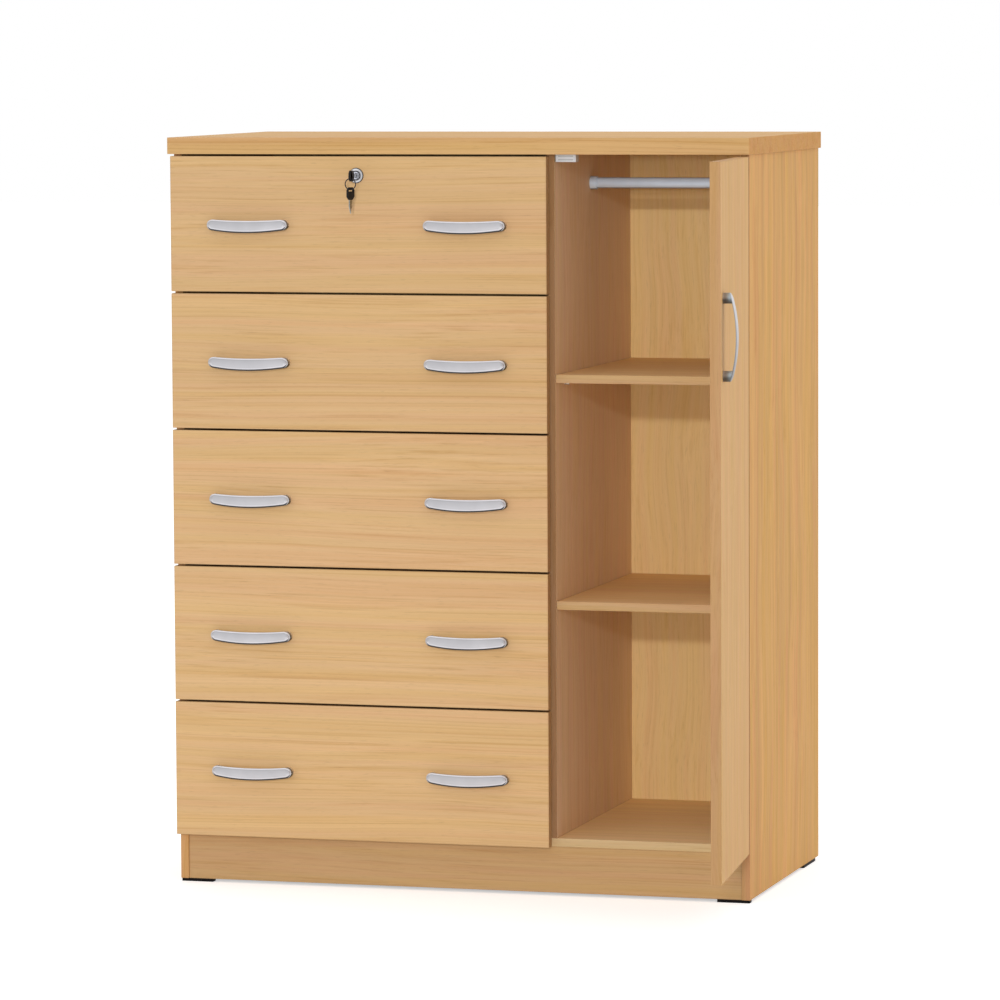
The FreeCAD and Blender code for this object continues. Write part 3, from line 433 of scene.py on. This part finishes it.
SPECIAL = {
    # the door handle's sides and rounded edge carry grey painted shade
    "door_handle": by_tilt(shaded_satin_handle("door_handle_silver", DOOR_FACE, (0.56, 0.64, 0.65), 0.55),
                           *DOOR_HANDLE_HIGHLIGHT_AND_SHADE),
    "lock_housing": lock_face("lock_flange"),
    "lock_plug": metal("lock_plug_steel", (0.64, 0.66, 0.74), 0.30, (500.0, 500.0, 60.0)),
    "key_ring": metal("ring_steel", (0.05, 0.05, 0.055), 0.30, (400.0, 400.0, 400.0)),
    "lock_key": key_finish("lock_key_finish", Y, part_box("lock_plug")[0].y - KEY_STANDOFF),
    "spare_key": key_finish("spare_key_finish", (0, 0, -1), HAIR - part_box("spare_key")[0].z - SPARE_BLADE),
}

# (width, segments) of the rounding along arrises: of the boards, and of the slots with small parts
BOARD_ARRIS, SMALL_ARRIS = (0.0006, 2), (0.00025, 3)
ARRISES = {slot: SMALL_ARRIS for slot in ("handle_metal", "rail_metal", "hinge_steel", "lock_chrome",
                                          "lock_steel", "key_black_bow", "catch_grey", "glide_black")}
WELD_WITHIN = 0.00001
FLAT_WITHIN, ARRIS_FROM = math.radians(0.5), math.radians(35)


def soften(node, width, segments):
    """Round the arrises with modifiers alone; the CAD mesh is split along them, so it is welded first."""
    weld = node.modifiers.new("weld", "WELD")
    weld.merge_threshold = WELD_WITHIN
    flat = node.modifiers.new("flat", "DECIMATE")
    flat.decimate_type = "DISSOLVE"
    flat.angle_limit = FLAT_WITHIN
    arris = node.modifiers.new("arris", "BEVEL")
    arris.width = width
    arris.segments = segments
    arris.limit_method = "ANGLE"
    arris.angle_limit = ARRIS_FROM


for seed, (name, node) in enumerate(sorted(NODES.items())):
    if name in BOARDS:
        base, grain, face, broad, fine = BOARDS[name]
        graph = laminate(name, base, grain, seed, broad, fine, face, EDGE_TONES.get(name, PLAIN_EDGE))
        if name == "top_panel":
            by_facing(graph, X, (0.5, 1.0), (0.8, TOP_END_TONE))
    elif SLOTS[name] == "back_board":
        graph = hardboard(name, BACK, seed)
    else:
        graph = SPECIAL.get(name) or FITTINGS[SLOTS[name]]
    soften(node, *ARRISES.get(SLOTS[name], BOARD_ARRIS))
    node.data.materials.clear()
    node.data.materials.append(graph.material)

# ---------------------------------------------------------------- bow handles

JOINTS = {joint["name"]: joint for joint in frame["record"]["behaviour"]["joints"]}
PIVOT = Vector(JOINTS["door_hinge"]["pos_m"]).xy
INNER_FACE, OUTER_FACE = 0.00875, -0.00625       # door's faces behind the hinge axis
DOOR_HANDLE, CUP_X, STRIKE_X = -0.2595, -0.017, -0.263      # from the hinge axis along the door
HINGE_LEVELS = (0.172, 0.5685, 0.965)
DOOR_TURN = Matrix.Rotation(DOOR_OPEN, 2)
DOOR_IN = tuple(DOOR_TURN @ Vector((0, 1))) + (0,)
MM = 0.001


def on_door(along, across, level):
    """A point of the open door from its place on the shut door, about the hinge axis."""
    spot = PIVOT + DOOR_TURN @ Vector((along, across))
    return (spot.x, spot.y, level)


def fitting(name, body, graph, verts, faces):
    """A piece of the scene's own, made from points and faces, on a body and with a material."""
    mesh = bpy.data.meshes.new(name)
    mesh.from_pydata(verts, [], faces)
    mesh.update()
    piece = bpy.data.objects.new(name, mesh)
    bpy.context.scene.collection.objects.link(piece)
    mesh.materials.append(graph.material)
    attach(piece, body)
    return piece


# a bow handle in mm: its outline, bow and posts are the CAD's, its strip is thinner and has rounded rims
HANDLE_HALF = 61
POST_AT = 53.5                # post's middle from the handle's middle
POST_RADIUS = 7.5
BAND_HALF = 51.5              # straight part of the strip
END_RADIUS = 8.0
UPPER_DIP, LOWER_DIP = 1.5, 3.5
REACH = 21.0
BOW_RADIUS = 200.6
STRIP = 2.1
ROUND_IN, ROUND_FRONT = 3.4, 1.5      # rounding of the front rim, across and in depth
ROUND_BACK = 0.3
CROWN = 0.15                  # how far the face swells between its edges


def bow_depth(u):
    """How far the strip's outer face stands off, at a place along the handle."""
    return REACH - BOW_RADIUS + math.sqrt(BOW_RADIUS ** 2 - u ** 2)


def strip_outline(ends=8, middle=24):
    """The strip's upper and lower edges from tip to tip, paired at the same places along it."""
    arc = [math.radians(90 * step / ends) for step in range(ends)]
    upper = [(-BAND_HALF - END_RADIUS * math.cos(a), END_RADIUS * math.sin(a)) for a in arc]
    lower = [(u, -v) for u, v in upper]
    for step in range(middle + 1):
        u = BAND_HALF * (2 * step / middle - 1)
        sag = 1 - (u / BAND_HALF) ** 2
        upper.append((u, END_RADIUS - UPPER_DIP * sag))
        lower.append((u, -END_RADIUS - LOWER_DIP * sag))
    right = [(-u, v) for u, v in reversed(upper[:ends])]
    return upper + right, lower + [(u, -v) for u, v in right]


def inset(points, distance):
    """A closed clockwise outline moved inwards."""
    moved = []
    for index, (u, v) in enumerate(points):
        before, after = Vector(points[index - 1]), Vector(points[(index + 1) % len(points)])
        tangent = (after - before).normalized()
        moved.append((u + distance * tangent.y, v - distance * tangent.x))
    return moved


def strip_shell(points, faces):
    """The strip: rounded at its rim, a little crowned in front, flat behind."""
    upper, lower = strip_outline()
    loop = upper + lower[-2:0:-1]
    steps = [(ROUND_BACK * (1 - math.sin(a)), ROUND_BACK * (1 - math.cos(a)) - STRIP)
             for a in (0, math.radians(45), math.radians(90))]
    steps += [(ROUND_IN * (1 - math.cos(a)), -ROUND_FRONT * (1 - math.sin(a)) - CROWN)
              for a in (math.radians(15 * step) for step in range(1, 7))]
    first = len(points)
    count = len(loop)
    for distance, sunk in steps:
        points += [(u, v, bow_depth(u) + sunk) for u, v in inset(loop, distance)]
    for ring in range(len(steps) - 1):
        for side in range(count):
            after = (side + 1) % count
            low = first + ring * count
            faces.append((low + side, low + after, low + count + after, low + count + side))
    for ring, rows in ((0, 0), (len(steps) - 1, 3)):
        base = first + ring * count
        columns = [[base]]
        for step in range(1, len(upper) - 1):
            top, bottom = base + step, base + count - step
            column = [top]
            for row in range(1, rows + 1):
                share = row / (rows + 1)
                (u, v, d), (_, end_v, _) = points[top], points[bottom]
                points.append((u, v + share * (end_v - v), d + CROWN * (1 - (2 * share - 1) ** 2)))
                column.append(len(points) - 1)
            columns.append(column + [bottom])
        columns.append([base + len(upper) - 1])
        for left, right in zip(columns, columns[1:]):
            for row in range(max(len(left), len(right)) - 1):
                corners = [left[min(row, len(left) - 1)], left[min(row + 1, len(left) - 1)],
                           right[min(row + 1, len(right) - 1)], right[min(row, len(right) - 1)]]
                faces.append(tuple(dict.fromkeys(corners)))


def post_shell(points, faces, middle, sides=32):
    """A round post from the front to the strip's mid thickness, with its far edge rounded."""
    first = len(points)
    # (narrower by, short of its far end by), from the front that carries it outwards
    steps = [(0.0, None), (0.0, 0.5), (0.15, 0.15), (0.5, 0.0)]
    for narrower, below in steps:
        for side in range(sides):
            a = 2 * math.pi * side / sides
            u = middle + (POST_RADIUS - narrower) * math.cos(a)
            v = (POST_RADIUS - narrower) * math.sin(a)
            points.append((u, v, 0.0 if below is None else bow_depth(u) - STRIP / 2 - CROWN - below))
    for ring in range(len(steps) - 1):
        for side in range(sides):
            after, low = (side + 1) % sides, first + ring * sides
            faces.append((low + side, low + after, low + sides + after, low + sides + side))
    faces.append(tuple(first + side for side in range(sides)))
    faces.append(tuple(first + (len(steps) - 1) * sides + side for side in range(sides)))


def bow_handles(name, body, node, graph, places):
    """One bow handle for each place, a function from (along, across, out) in mm to a point."""
    verts, faces = [], []
    for place in places:
        points, shell = [], []
        strip_shell(points, shell)
        for middle in (-POST_AT, POST_AT):
            post_shell(points, shell, middle)
        first = len(verts)
        verts += [tuple(place(*point)) for point in points]
        faces += [tuple(first + index for index in face) for face in shell]
    piece = fitting(name, body, graph, verts, faces)
    shape = bmesh.new()
    shape.from_mesh(piece.data)
    bmesh.ops.recalc_face_normals(shape, faces=shape.faces)
    for face in shape.faces:
        face.smooth = len(face.verts) < 5
    shape.to_mesh(piece.data)
    shape.free()
    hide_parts(node)


def drawer_place(middle, front, level):
    return lambda u, v, out: (middle + u * MM, front - out * MM, level + v * MM)


def door_place(level):
    return lambda u, v, out: on_door(DOOR_HANDLE + v * MM, OUTER_FACE - out * MM, level - u * MM)


for number in range(1, 6):
    low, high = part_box(f"drawer_{number}_handles")
    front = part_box(f"drawer_{number}_front")[0].y
    middles = (low.x + HANDLE_HALF * MM, high.x - HANDLE_HALF * MM)
    bow_handles(f"drawer_{number}_bow_handles", f"drawer_{number}", f"drawer_{number}_handles",
                FITTINGS["handle_metal"],
                [drawer_place(middle, front, high.z - END_RADIUS * MM) for middle in middles])
low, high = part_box("door_handle")
bow_handles("door_bow_handle", "door", "door_handle", SPECIAL["door_handle"],
            [door_place((low.z + high.z) / 2)])

# ---------------------------------------------------------------- screws and other small fittings

# (radius, height) of a head's rings, as shares of its own
DOMED = ((1, 0), (1, 0.3), (0.94, 0.62), (0.80, 0.88), (0.64, 1))
FLUSH = ((1, 0), (1, 0.6), (0.96, 1), (0.66, 1))
DOME_RECESS = 0.0008


def cross_loop(reach, width, level):
    """The outline of a cross recess, with as many points as a ring."""
    middle = (reach + width) / 2
    corner = [(reach, 0), (reach, width), (middle, width), (width, width), (width, middle), (width, reach)]
    loop = []
    for quarter in range(4):
        turn = Matrix.Rotation(math.radians(90 * quarter), 2)
        loop += [(*(turn @ Vector(point)), level) for point in corner]
    return loop


def ring_loop(radius, level, count=24):
    angles = (2 * math.pi * i / count for i in range(count))
    return [(radius * math.cos(a), radius * math.sin(a), level) for a in angles]


def screw_head(verts, faces, at, normal, radius, rise, dome=True):
    """A closed cross-recess head on a face: domed, or nearly flush with its rim bevelled."""
    loops = [ring_loop(radius * across, rise * up) for across, up in (DOMED if dome else FLUSH)]
    sunk = max(rise, DOME_RECESS) if dome else rise * 0.9
    loops.append(cross_loop(0.50 * radius, 0.13 * radius, rise))
    loops.append(cross_loop(0.36 * radius, 0.09 * radius, rise - 0.75 * sunk))
    turn = Vector(normal).to_track_quat("Z", "Y").to_matrix()
    first, count = len(verts), len(loops[0])
    for point in [(0, 0, 0)] + [point for loop in loops for point in loop] + [(0, 0, rise - 0.8 * sunk)]:
        verts.append(tuple(Vector(at) + turn @ Vector(point)))
    last = len(verts) - 1
    for step in range(count):
        after = (step + 1) % count
        faces.append((first, first + 1 + after, first + 1 + step))
        for ring in range(len(loops) - 1):
            low, high = first + 1 + ring * count, first + 1 + (ring + 1) * count
            faces.append((low + step, low + after, high + after, high + step))
        top = first + 1 + (len(loops) - 1) * count
        faces.append((top + step, top + after, last))


def block(verts, faces, low, high):
    """A box between two corners."""
    first = len(verts)
    verts += [(x, y, z) for x in (low[0], high[0]) for y in (low[1], high[1]) for z in (low[2], high[2])]
    faces += [tuple(first + i for i in face) for face in (
        (0, 1, 3, 2), (4, 6, 7, 5), (0, 4, 5, 1), (2, 3, 7, 6), (0, 2, 6, 4), (1, 5, 7, 3))]


SCREW_STEEL = metal("screw_steel", (0.60, 0.60, 0.58), 0.28, (500.0, 500.0, 500.0), metallic=0.75)
CAM_ZINC = metal("cam_zinc", (0.42, 0.42, 0.41), 0.40, (600.0, 600.0, 600.0), 0.12)
POST = POST_RADIUS * MM      # middle of a handle's post from the handle's end
POST_FAR = (2 * HANDLE_HALF - POST_RADIUS) * MM      # and from its other end

# (radius, rise) of the heads
WASHER, HANDLE_SCREW = (5.0 * MM, 0.6 * MM), (3.8 * MM, 2.2 * MM)
CAM = (7.5 * MM, 0.3 * MM)
CUP_SCREW, STRIKE_SCREW = (3.6 * MM, 0.5 * MM), (3.0 * MM, 0.15 * MM)
PLATE_SCREW, ARM_SCREW = (4.2 * MM, 1.2 * MM), (3.4 * MM, 0.8 * MM)
RUNNER_SCREW = (3.5 * MM, 0.15 * MM)

# where they sit
CAM_BEHIND, CAM_ABOVE, CAM_BELOW = 34 * MM, 40 * MM, 30 * MM       # front, side's lower and upper edge
CUP_FLANGE, STRIKE_THICK = 0.3 * MM, 1.2 * MM
CUP_SCREW_ZS, PLATE_SCREW_ZS = (-24 * MM, 24 * MM), (-17.5 * MM, 17.5 * MM)       # about a hinge's level
PLATE_THICK, ARM_FACE, KNUCKLE_Y = 2 * MM, 408 * MM, -218.75 * MM
PLATE_SCREW_BACK, ARM_SCREWS_BACK = 40 * MM, (20 * MM, 44 * MM)    # behind the knuckle
RUNNER_IN, RUNNER_SCREW_YS = 7 * MM, (-0.16, 0.02, 0.13)           # within the drawer side's outer face
# the catch's two poles: above its lower edge, their height, short of its ends, proud of its front
POLE_ZS, POLE_HIGH, POLE_IN, POLE_OUT = (2.5 * MM, 7.5 * MM), 1.4 * MM, 4 * MM, 0.15 * MM
LEFTWARDS = (-1, 0, 0)

for number in range(1, 6):
    verts, faces = [], []
    low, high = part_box(f"drawer_{number}_handles")
    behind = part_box(f"drawer_{number}_front")[1].y
    for x in (low.x + POST, low.x + POST_FAR, high.x - POST_FAR, high.x - POST):
        z = high.z - END_RADIUS * MM
        screw_head(verts, faces, (x, behind, z), Y, *WASHER, dome=False)
        screw_head(verts, faces, (x, behind + WASHER[1], z), Y, *HANDLE_SCREW)
    fitting(f"drawer_{number}_handle_screws", f"drawer_{number}", SCREW_STEEL, verts, faces)
    verts, faces = [], []
    left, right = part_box(f"drawer_{number}_left_side"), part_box(f"drawer_{number}_right_side")
    for x, normal in ((left[1].x, X), (right[0].x, LEFTWARDS)):
        for z in (left[0].z + CAM_ABOVE, left[1].z - CAM_BELOW):
            screw_head(verts, faces, (x, behind + CAM_BEHIND, z), normal, *CAM, dome=False)
    fitting(f"drawer_{number}_cams", f"drawer_{number}", CAM_ZINC, verts, faces)

verts, faces = [], []
low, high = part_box("door_handle")
for z in (low.z + POST, high.z - POST):
    screw_head(verts, faces, on_door(DOOR_HANDLE, INNER_FACE, z), DOOR_IN, *WASHER, dome=False)
    screw_head(verts, faces, on_door(DOOR_HANDLE, INNER_FACE + WASHER[1], z), DOOR_IN, *HANDLE_SCREW)
for level in HINGE_LEVELS:
    for side in CUP_SCREW_ZS:
        screw_head(verts, faces, on_door(CUP_X, INNER_FACE + CUP_FLANGE, level + side), DOOR_IN, *CUP_SCREW,
                   dome=False)
low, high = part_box("strike_plate")
screw_head(verts, faces, on_door(STRIKE_X, INNER_FACE + STRIKE_THICK, (low.z + high.z) / 2), DOOR_IN,
           *STRIKE_SCREW, dome=False)
fitting("door_screws", "door", SCREW_STEEL, verts, faces)

verts, faces = [], []
plate_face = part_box("right_side_panel")[0].x - PLATE_THICK
for level in HINGE_LEVELS:
    for side in PLATE_SCREW_ZS:
        screw_head(verts, faces, (plate_face, KNUCKLE_Y + PLATE_SCREW_BACK, level + side), LEFTWARDS,
                   *PLATE_SCREW)
    for back in ARM_SCREWS_BACK:
        screw_head(verts, faces, (ARM_FACE, KNUCKLE_Y + back, level), LEFTWARDS, *ARM_SCREW)
fitting("hinge_screws", "cabinet", SCREW_STEEL, verts, faces)

verts, faces = [], []
for number in range(1, 6):
    left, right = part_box(f"drawer_{number}_left_side"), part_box(f"drawer_{number}_right_side")
    middle = (left[0].z + left[1].z) / 2
    for y in RUNNER_SCREW_YS:
        screw_head(verts, faces, (left[0].x + RUNNER_IN, y, middle), X, *RUNNER_SCREW, dome=False)
        screw_head(verts, faces, (right[1].x - RUNNER_IN, y, middle), LEFTWARDS, *RUNNER_SCREW, dome=False)
fitting("runner_screws", "cabinet", CAM_ZINC, verts, faces)

verts, faces = [], []
low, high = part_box("magnetic_catch")
for z in (low.z + rise for rise in POLE_ZS):
    block(verts, faces, (low.x + POLE_IN, low.y - POLE_OUT, z), (high.x - POLE_IN, low.y, z + POLE_HIGH))
fitting("catch_poles", "cabinet", CAM_ZINC, verts, faces)

# ---------------------------------------------------------------- floor, lights, world

WORLD_LIGHT = 0.71             # on the object; rays that see the world directly get 1
FLOOR_LIFT = 0.50              # glow that brings the floor to white for the rays that see it directly


def seen_directly(graph):
    """1 for camera, glossy and transmission rays, which see the white background, and 0 for light on the
    object."""
    path = graph.add("LightPath").outputs
    both = graph.math("MAXIMUM", path["Is Camera Ray"], path["Is Glossy Ray"])
    return graph.math("MAXIMUM", both, path["Is Transmission Ray"])


HALF_FLOOR = 30
floor_mesh = bpy.data.meshes.new("floor")
corners = [(-1, -1), (1, -1), (1, 1), (-1, 1)]
floor_mesh.from_pydata([(x * HALF_FLOOR, y * HALF_FLOOR, 0) for x, y in corners], [], [(0, 1, 2, 3)])
floor = bpy.data.objects.new("floor", floor_mesh)
bpy.context.scene.collection.objects.link(floor)
graph = Graph("pale_floor")
graph.set(Base_Color=(0.86, 0.86, 0.86, 1), Roughness=0.9, Specular_IOR_Level=0.0,
          Emission_Color=(1, 1, 1, 1),
          Emission_Strength=graph.math("MULTIPLY", seen_directly(graph), FLOOR_LIFT))
floor.data.materials.append(graph.material)


class WorldGraph(Graph):
    """The world's node tree, whose shader is a background."""

    def __init__(self, world):
        world.use_nodes = True
        self.tree = world.node_tree
        self.tree.nodes.clear()
        self.shader = self.add("Background")
        self.link(self.shader.outputs[0], self.add("OutputWorld").inputs["Surface"])


world = bpy.data.worlds.new("studio")
bpy.context.scene.world = world
graph = WorldGraph(world)
graph.set(Color=(1, 1, 1, 1), Strength=graph.remap(seen_directly(graph), 0.0, 1.0, WORLD_LIGHT, 1.0))


def area_light(name, at, target, size, watts):
    light = bpy.data.lights.new(name, "AREA")
    light.shape = "RECTANGLE"
    light.size, light.size_y = size
    light.energy = watts
    lamp = bpy.data.objects.new(name, light)
    lamp.location = at
    lamp.rotation_euler = (Vector(target) - Vector(at)).to_track_quat("-Z", "Y").to_euler()
    bpy.context.scene.collection.objects.link(lamp)
    lamp.visible_camera = False
    lamp.visible_glossy = False


MIDDLE, TOP_MIDDLE = (0, 0, 0.55), (0, 0, 1.09)        # of the chifforobe
area_light("main", (2.55, -14.56, 3.50), MIDDLE, (1.8, 0.35), 420)
area_light("low", (2.58, -14.75, 1.58), MIDDLE, (1.8, 0.35), 290)
area_light("right", (9.0, 0.9, 1.5), MIDDLE, (2.6, 2.6), 88)
area_light("above", (0.0, 1.0, 5.0), TOP_MIDDLE, (2.0, 2.0), 45)

bpy.context.scene.view_settings.view_transform = "Standard"
